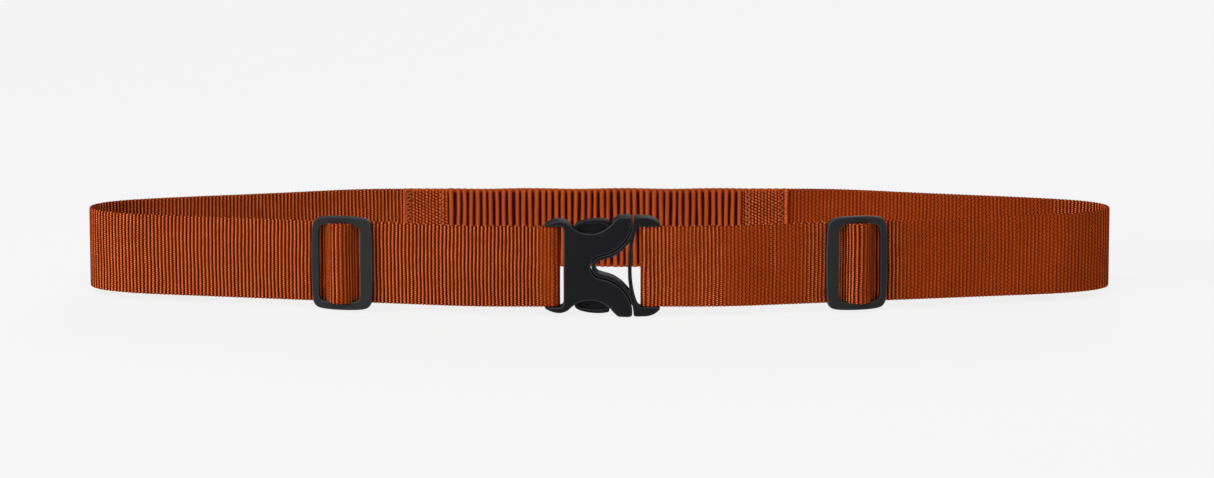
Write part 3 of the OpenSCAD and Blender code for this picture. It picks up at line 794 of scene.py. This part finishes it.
def pleats(x, z):
    """Gathered cloth: rounded ridges across the panel, pinched between, looser at the edges."""
    t = (x - GX0) / RIDGE_PITCH
    i = np.clip(np.floor(t), 0, RIDGES - 1).astype(int)
    wander = ridge_shift[i] + ridge_lean[i] * z / SLEEVE_HALF + 0.03 * np.sin(z / 4.1 + ridge_phase[i])
    q = np.clip(np.abs(2 * (t - i - wander) - 1) / ridge_width[i], 0, 1)
    ridge = (1 - q ** 3.4) ** 0.7 * ridge_height[i]
    rim = np.clip((np.abs(z) - SLEEVE_HALF + 3.2) / 2.4, 0, 1)
    rim = rim * rim * (3 - 2 * rim)
    fuzz = 0.16 * np.sin(z * 4.3 + i * 2.1) * np.sin(x * 5.7)
    shape = ridge * (1 - 0.72 * rim) + rim * 0.62
    grain = 0.035 * np.sin(x * 9.0) * np.sin(z * 7.5 + i)
    lift = -0.55 + 1.38 * shape + grain
    # shade paints the hollows between the ridges dark, as painted shade.
    shade = np.clip(0.02 + 0.86 * shape + fuzz * (0.4 + rim), 0, 1)
    stand = (0.18 * np.sin(x / 7.3) - 0.15 * ridge) * rim
    return lift, shade, stand


flat_end("sleeve_left_end", LEFT_HEM, GX0, "left_half")
flat_end("sleeve_right_end", RIGHT_HEM, GX1, "right_half")
gathered = sleeve_tube("sleeve_gathers", np.linspace(GX0, GX1, RIDGES * RIDGE_POINTS + 1), pleats,
                       SLEEVE_HALF - 0.85, 1.75, (ELASTIC_W / 2 + 0.2, ELASTIC_T / 2 + 0.12), 66, GATHERS)
GATHER_START, GATHER_END = (Vector(world([x, BACK_Y, 0.0])) for x in (GX0, GX1))
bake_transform(gathered)
finish_piece(gathered, "sleeve_gathers")


def elastic_core():
    """Corded elastic tape inside the gathers."""
    cord, groove = 2.0, 0.16
    x, w = np.linspace(GX0 + 0.1, GX1 - 0.4, 73), np.linspace(-ELASTIC_W / 2, ELASTIC_W / 2, 137)
    X, W = np.meshgrid(x, w, indexing="ij")
    cord_wave = 0.5 + 0.5 * np.cos(2 * PI * W / cord)
    thick = (ELASTIC_T / 2 - groove + groove * cord_wave) * np.clip((ELASTIC_W / 2 - np.abs(W)) / 0.4, 0.3, 1)
    place = np.stack([x, 0 * x + BACK_Y, 0 * x], -1)
    v = sheets(place, thick, W)
    ob = make_mesh("elastic_core", world(v), outward(v, two_face_skin(*X.shape)), ELASTIC)
    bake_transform(ob)
    finish_piece(ob, "elastic_core")


elastic_core()


# ---------------- thread
THREAD_R, THREAD_RISE, STITCH = 0.24, 0.22, 2.1
SEAM_HALF = 1.1                     # half the width of a zigzag seam


def stitches(name, pairs, body):
    """Short lengths of thread, each from a needle hole to the next: pairs of (start, end, outward)."""
    rings, sides = 9, 8
    verts, faces = [], []
    t = np.linspace(0, 1, rings)
    a = np.linspace(0, 2 * PI, sides, endpoint=False)
    for start, end, out in pairs:
        start, end, out = (np.asarray(p, float) for p in (start, end, out))
        line = end - start
        side = np.cross(line / np.linalg.norm(line), out)
        mid = start + t[:, None] * line + out * (THREAD_RISE * np.sin(PI * t) - 0.1)[:, None]
        r = THREAD_R * np.sqrt(np.clip(1 - (2 * t - 1) ** 6, 0.08, 1)) * (1 + 0.12 * np.cos(6 * PI * t))
        ring = (mid[:, None] + r[:, None, None] * (np.cos(a)[None, :, None] * side
                                                   + np.sin(a)[None, :, None] * out)).reshape(-1, 3)
        base = len(verts) * rings * sides
        idx = np.arange(rings * sides).reshape(rings, sides)
        b = np.roll(idx, -1, 1)
        q = [np.stack([idx[:-1], b[:-1], b[1:], idx[1:]], -1).reshape(-1, 4)]
        for row, back in ((idx[0], True), (idx[-1], False)):
            for k in range(0, sides - 2, 2):
                f = [row[0], row[k + 1], row[k + 2], row[(k + 3) % sides]]
                q.append(np.array([f[::-1] if back else f]))
        q = np.concatenate(q)
        faces.append(outward(ring, q) + base)
        verts.append(ring)
    ob = make_mesh(name, world(np.concatenate(verts)), np.concatenate(faces), THREAD)
    finish_piece(ob, name, body)


def seam(name, x, body):
    """A zigzag seam across both faces of the sleeve."""
    count, span, sink = 24, 36.0, 0.12
    pairs = []
    for face in (-1, 1):
        y = BACK_Y + face * (FLAT_T / 2 - sink)
        for k in range(count):
            a, b = (-1) ** k * SEAM_HALF, (-1) ** (k + 1) * SEAM_HALF
            z0, z1 = -span / 2 + k * span / count, -span / 2 + (k + 1) * span / count
            pairs.append(((x + a, y, z0 + sink), (x + b, y, z1 - sink), (0, face, 0)))
    stitches(name, pairs, body)


seam("outer_left_seam", LEFT_HEM + SEAM_IN, "left_half")
seam("inner_left_seam", GX0 - SEAM_IN, "left_half")
seam("inner_right_seam", GX1 + SEAM_IN, "right_half")
seam("outer_right_seam", RIGHT_HEM - SEAM_IN, "right_half")


def tail_stitches(side):
    """Three rows that close the webbing's own end over the slider's centre bar."""
    flip = SIDES[side]["flip"]
    count, span, inset = 12, 34.0, 3.5
    pairs = []
    for row in range(3):
        u = TAIL_U + inset + row * (TAIL_LEN - 2 * inset) / 2 + 0.3
        x, y, _ = on_slider(u, TAIL_V - WEB_T / 2 + 0.02, 0.0)
        out = (math.sin(FS) * flip, math.cos(FS), 0)
        for k in range(count):
            z0 = -span / 2 + k * span / count
            pairs.append(((x * flip, y, z0), (x * flip, y, z0 + STITCH), out))
    stitches(side + "_loop_stitches", pairs, side + "_adjuster")


for side_name in SIDES:
    tail_stitches(side_name)


# ---------------- hardware
LINE_STEPS, BAR_SIDES = 6, 24
SHARP = math.radians(38)


def ramp(t, start, end, a, b):
    """Runs from a at start to b at end."""
    return (end - t) / (end - start) * a + (t - start) / (end - start) * b


def smooth_line(points):
    """A closed smooth line through points; a point with a third value, "corner", breaks it."""
    p = np.array([q[:2] for q in points], float)
    corner = [len(q) > 2 for q in points]
    n = len(p)
    out = []
    for k in range(n):
        p1, p2 = p[k], p[(k + 1) % n]
        p0 = p1 + (p1 - p2) if corner[k] else p[k - 1]
        p3 = p2 + (p2 - p1) if corner[(k + 1) % n] else p[(k + 2) % n]
        k0, k1, k2, k3 = np.cumsum([0] + [max(np.linalg.norm(b - a), 1e-6) ** 0.5
                                          for a, b in ((p0, p1), (p1, p2), (p2, p3))])
        t = np.linspace(k1, k2, LINE_STEPS, endpoint=False)[:, None]
        a1, a2, a3 = ramp(t, k0, k1, p0, p1), ramp(t, k1, k2, p1, p2), ramp(t, k2, k3, p2, p3)
        out.append(ramp(t, k1, k2, ramp(t, k0, k2, a1, a2), ramp(t, k1, k3, a2, a3)))
    return np.concatenate(out)


def flipped(line, s):
    """An outline, or for s = -1 its image below the axis."""
    return [(q[0], s * q[1], *q[2:]) for q in line]


def both_halves(upper):
    """A closed outline from its upper half, whose first and last points lie on the axis."""
    return list(upper) + flipped(upper[-2:0:-1], -1)


def plate(outlines, thick, edge):
    """Mesh data of a flat plate with rounded edges; outlines after the first are holes."""
    curve = bpy.data.curves.new("plate", "CURVE")
    curve.dimensions = "2D"
    curve.fill_mode = "BOTH"
    curve.extrude = thick / 2 - edge
    curve.bevel_depth = edge
    curve.bevel_resolution = 3
    curve.offset = -edge
    for line in outlines:
        pts = smooth_line(line)
        spline = curve.splines.new("POLY")
        spline.points.add(len(pts) - 1)
        spline.points.foreach_set("co", np.concatenate([pts, np.zeros((len(pts), 1)),
                                                        np.ones((len(pts), 1))], 1).ravel())
        spline.use_cyclic_u = True
    ob = new_object("plate", curve)
    me = bpy.data.meshes.new_from_object(ob.evaluated_get(bpy.context.evaluated_depsgraph_get()))
    bpy.data.objects.remove(ob)
    return me


def bar_mesh(u, v, half_len, radius):
    """A round bar along w, with softened ends."""
    sides, soft = BAR_SIDES, 0.3
    a = np.linspace(0, 2 * PI, sides, endpoint=False)
    stations = [(-half_len, radius - soft), (-half_len + soft, radius), (half_len - soft, radius),
                (half_len, radius - soft)]
    pts = [(u + r * math.cos(t), w, v + r * math.sin(t)) for w, r in stations for t in a]
    faces = [(k * sides + j, k * sides + (j + 1) % sides, (k + 1) * sides + (j + 1) % sides,
              (k + 1) * sides + j) for k in range(3) for j in range(sides)]
    faces += [tuple(range(sides))[::-1], tuple(3 * sides + j for j in range(sides))]
    me = bpy.data.meshes.new("bar")
    me.from_pydata(pts, [], faces)
    return me


BOX_FACES = [(0, 1, 3, 2), (4, 6, 7, 5), (0, 4, 5, 1), (2, 3, 7, 6), (0, 2, 6, 4), (1, 5, 7, 3)]


def cut(ob, boxes):
    """Takes boxes (low, high) out of a piece that is still flat in its own u, w, v frame."""
    for low, high in boxes:
        x, y, z = zip(low, high)
        me = bpy.data.meshes.new("cutter")
        pts = [(i, j, k) for i in x for j in y for k in z]
        me.from_pydata(pts, [], BOX_FACES)
        cutter = new_object("cutter", me)
        mod = ob.modifiers.new("cut", "BOOLEAN")
        mod.operation, mod.solver, mod.object = "DIFFERENCE", "EXACT", cutter
        me = bpy.data.meshes.new_from_object(ob.evaluated_get(bpy.context.evaluated_depsgraph_get()))
        ob.modifiers.clear()
        ob.data = me
        bpy.data.objects.remove(cutter)


def moulded(name, parts, place, body, cuts=(), mat=BUCKLE_PLASTIC):
    """One plastic piece from its meshes, moved by place from (u, w, v) to the loop's frame."""
    ob = new_object(name, parts[0])
    bpy.context.view_layer.update()
    cut(ob, cuts)
    verts, faces, tilt = [], [], []
    for me in (ob.data, *parts[1:]):
        base = len(verts)
        verts += [tuple(v.co) for v in me.vertices]
        for f in me.polygons:
            faces.append([base + k for k in f.vertices])
            tilt.append(abs(f.normal.z))
    merged = bpy.data.meshes.new(name)
    merged.from_pydata([tuple(c) for c in world(place(np.array(verts)))], [], faces)
    merged.update()
    if sum(f.center.dot(f.normal) * f.area for f in merged.polygons) < 0:
        merged.flip_normals()
    merged.polygons.foreach_set("use_smooth", [t < 0.999 for t in tilt])
    # rim marks the faces of the rounded edges, where the plastic carries its painted highlight.
    rim = merged.attributes.new("rim", "FLOAT", "FACE")
    rim.data.foreach_set("value", [math.exp(-((t - 0.72) / 0.2) ** 2) for t in tilt])
    merged.set_sharp_from_angle(angle=SHARP)
    merged.materials.append(mat)
    ob.data = merged
    finish_piece(ob, name, body)


def on_buckle(p):
    """Points (u, w, v) of the buckle in the loop's frame."""
    return np.stack([BUCKLE_X + p[:, 0], FRONT_Y + WRAP_R - p[:, 2], p[:, 1]], -1)


def on_slider_of(side):
    """The same for a side's slider."""
    def place(p):
        x, y, _ = on_slider(p[:, 0], p[:, 2], 0.0)
        return np.stack([x * SIDES[side]["flip"], y, p[:, 1]], -1)
    return place


# Outlines, (u, w) in mm. The socket's mouth and the plug's strip follow the circles LOBE and APEX.
LOBE, APEX = (-3.5, 22.9, 17.5), (-0.1, 0.0, 5.7)
HORN_IN, STRIP_GAP = HALF_W + GAP, 0.5


def on_circle(circle, grow, *degrees):
    """Points of an outline on a circle, grown by so much, at angles."""
    u, w, r = circle
    return [(u + (r + grow) * math.cos(math.radians(a)), w + (r + grow) * math.sin(math.radians(a)))
            for a in degrees]


SOCKET = both_halves([
    (-5.8, 0), *on_circle(APEX, 0, 150, 120, 95), *on_circle(LOBE, 0, -62, -45, -28, -12),
    (14.0, 22.6), (13.6, 23.6), (12.6, 24.0), (9.5, 24.0), (7.4, 23.75), (5.5, 22.2), (3.0, 19.5),
    (-1.2, 16.9), (-6.0, 16.1), (-10.8, 16.95), (-14.2, 19.0), (-16.8, 21.2), (-19.5, 22.1),
    (-22.4, 21.95), (-25.2, 21.0), (-27.1, 19.8), (-26.9, 19.35), (-25.5, HORN_IN), (-20.6, HORN_IN),
    (-19.0, 18.9), (-18.45, 17.6), (-18.4, 15.5), (-18.4, 0)])
PLUG = both_halves([
    (13.7, 0), (13.85, 6), (14.5, 11.4), (15.9, 17.0), (16.9, 18.8), (18.6, HORN_IN), (20.4, HORN_IN),
    (25.6, HORN_IN), (26.9, 19.5), (27.0, 20.2), (25.7, 21.7), (23.6, 22.95), (21.0, 23.65), (17.8, 23.8),
    (15.6, 23.8), (14.85, 23.5), (14.6, 22.6), *on_circle(LOBE, STRIP_GAP, -12, -28, -45, -62),
    *on_circle(APEX, -STRIP_GAP, 95, 120, 150), (-5.3, 0)])
PLUG_WINDOW = both_halves([
    (-3.4, 0), (-2.43, 2.33), (-0.1, 3.35), (3.0, 4.2), (5.84, 5.4), (9.29, 7.9), (11.6, 10.4),
    (12.4, 11.4, "corner"), (12.5, 10.4), (12.0, 5.5), (11.9, 0)])
PAD = [(-13.2, 15.2, "corner"), (-13.25, 18.4), (-12.9, 19.7), (-11.4, 20.85), (-8.5, 21.8), (-4.5, 22.4),
       (-1.6, 22.5), (1.0, 22.3), (2.8, 21.9), (3.2, 21.2), (3.2, 15.2, "corner")]
LENS = [(-11.6, 16.2, "corner"), (-11.7, 18.6), (-10.4, 19.6), (-6.5, 20.4), (-3.0, 20.65), (0.0, 20.4),
        (1.8, 19.8), (2.0, 18.9), (2.0, 16.2, "corner")]
ARM = [(1.5, 16.1, "corner"), (13.5, 16.1), (15.3, 16.15), (16.1, 17.2), (15.3, 18.25), (13.5, 18.3),
       (1.5, 18.3, "corner")]
SLIDER = both_halves([
    (14.85, 0), (14.7, 10.0), (14.3, 17.0), (13.7, 19.5), (12.3, 21.15), (10.0, 21.95), (5.0, 22.45),
    (0, 22.55), (-5.0, 22.45), (-10.0, 21.95), (-12.3, 21.15), (-13.7, 19.5), (-14.3, 17.0),
    (-14.7, 10.0), (-14.85, 0)])
SLIDER_WINDOW = both_halves([
    (8.65, 0), (8.65, 14.2), (8.45, 16.2), (7.8, 17.45), (6.6, 18.15), (5.0, 18.5), (2.6, 18.8),
    (-5.1, 18.8), (-7.5, 18.5), (-9.1, 18.15), (-10.3, 17.45), (-10.95, 16.2), (-11.15, 14.2),
    (-11.15, 0)])

# Cut out of the halves: channels for the prongs, open at the sides up to WINDOW_U, and slots for
# the prongs' roots.
CHANNEL_V, CHANNEL_U, CHANNEL_END, CHANNEL_IN, CHANNEL_OUT, WINDOW_U = 2.8, -14.8, 16.0, 10.8, 20.8, 3.6
PRONG_T, PIVOT = CHANNEL_V * 2 - 0.8, (15.0, 17.2)
SLOT_U, SLOT_PAST, SLOT_HALF = 11.0, 1.5, 1.6

channels, slots = [], []
for s in (-1, 1):
    span = sorted((s * CHANNEL_IN, s * CHANNEL_OUT))
    outer = sorted((s * CHANNEL_IN, s * SHELL_H / 2 + s))
    channels.append(((CHANNEL_U, span[0], -CHANNEL_V), (CHANNEL_END, span[1], CHANNEL_V)))
    channels.append(((CHANNEL_U, outer[0], -CHANNEL_V), (WINDOW_U, outer[1], CHANNEL_V)))
    root = sorted((s * (PIVOT[1] - SLOT_HALF), s * (PIVOT[1] + SLOT_HALF)))
    slots.append(((SLOT_U, root[0], -PRONG_T / 2 - GAP), (PIVOT[0] + SLOT_PAST, root[1], PRONG_T / 2 + GAP)))

moulded("socket_buckle_half", [plate([SOCKET], SHELL_T, 0.9),
                               bar_mesh(-SOCKET_BAR, 0, HORN_IN + 1, BAR_D / 2)],
        on_buckle, "left_half", channels)
moulded("plug_buckle_half", [plate([PLUG, PLUG_WINDOW], SHELL_T - 1, 0.6),
                             bar_mesh(PLUG_BAR, 0, HORN_IN + 1, BAR_D / 2)],
        on_buckle, "right_half", slots)
for s, prong in ((1, "upper_prong"), (-1, "lower_prong")):
    pad, lens, arm = (flipped(line, s) for line in (PAD, LENS, ARM))
    moulded(prong, [plate([pad, lens], PRONG_T, 0.45), plate([pad], PRONG_T - 2.0, 0.3),
                    plate([arm], PRONG_T, 0.3)], on_buckle, prong)
for side_name in SIDES:
    moulded(side_name + "_slider", [plate([SLIDER, SLIDER_WINDOW], SLIDER_T, 0.8),
                                    bar_mesh(BAR_U, BAR_V, HALF_W + 1.2, CENTRE_D / 2)],
            on_slider_of(side_name), side_name + "_adjuster", mat=SLIDER_PLASTIC)


# ---------------- stage, light and camera
AIM = Vector((0, 0, 0.02))
FLOOR_HALF, FLOOR_GLOW = 12, 0.833      # the glow keeps the floor as even and pale as the photo's


def area_light(name, place, size, power):
    """A soft light that faces the strap."""
    data = bpy.data.lights.new(name, "AREA")
    data.shape = "RECTANGLE"
    data.size, data.size_y = size
    data.energy = power
    ob = new_object(name, data)
    ob.location = place
    ob.rotation_euler = (AIM - Vector(place)).to_track_quat("-Z", "Y").to_euler()


def floor():
    v = np.array([[-1, -1, 0], [1, -1, 0], [1, 1, 0], [-1, 1, 0]], float) * FLOOR_HALF
    mat, g, bsdf = shader("pale_floor", 0.9, 0.1)
    g.put(bsdf.inputs["Base Color"], (0.08, 0.08, 0.08))
    g.put(bsdf.inputs["Emission Color"], (1.0, 1.0, 1.0))
    bsdf.inputs["Emission Strength"].default_value = FLOOR_GLOW
    ob = make_mesh("floor", v, [[0, 1, 2, 3]], mat)


floor()
scene.world = bpy.data.worlds.new("studio")
scene.world.use_nodes = True
back = scene.world.node_tree.nodes["Background"]
back.inputs["Color"].default_value = (0.913, 0.913, 0.913, 1)
back.inputs["Strength"].default_value = 0.32
area_light("key", (-1.9, -1.0, 0.7), (0.6, 0.5), 30)
area_light("top", (-0.2, -0.9, 1.7), (1.4, 0.4), 15)
area_light("rear", (0.7, 2.3, 1.1), (1.6, 1.0), 16)

# The photo's angle of view. In it a millimetre is PX_PER_MM pixels, and the strap's middle lies
# LEFT_PX left of the frame's middle and BELOW_PX below it.
CENTRE = world([0.0, (FRONT_Y + BACK_Y) / 2, 0.0])
ELEVATION, DISTANCE, FOCAL = math.radians(13.6), 2.8, 173.5
PX_PER_MM, LEFT_PX, BELOW_PX = 2.09, 7.5, 7.8
aside, above = LEFT_PX / PX_PER_MM * MM, BELOW_PX / PX_PER_MM * MM
look = Vector((0, math.cos(ELEVATION), -math.sin(ELEVATION)))
up = Vector((0, math.sin(ELEVATION), math.cos(ELEVATION)))
cam = new_object("camera", bpy.data.cameras.new("camera"))
cam.data.lens = FOCAL
cam.data.sensor_width = 36.0
cam.location = Vector(CENTRE) - look * DISTANCE + Vector((aside, 0, 0)) + up * above
cam.rotation_euler = look.to_track_quat("-Z", "Y").to_euler()
cam.data.clip_start, cam.data.clip_end = 0.05, 60
scene.camera = cam
scene.view_settings.view_transform = "Standard"
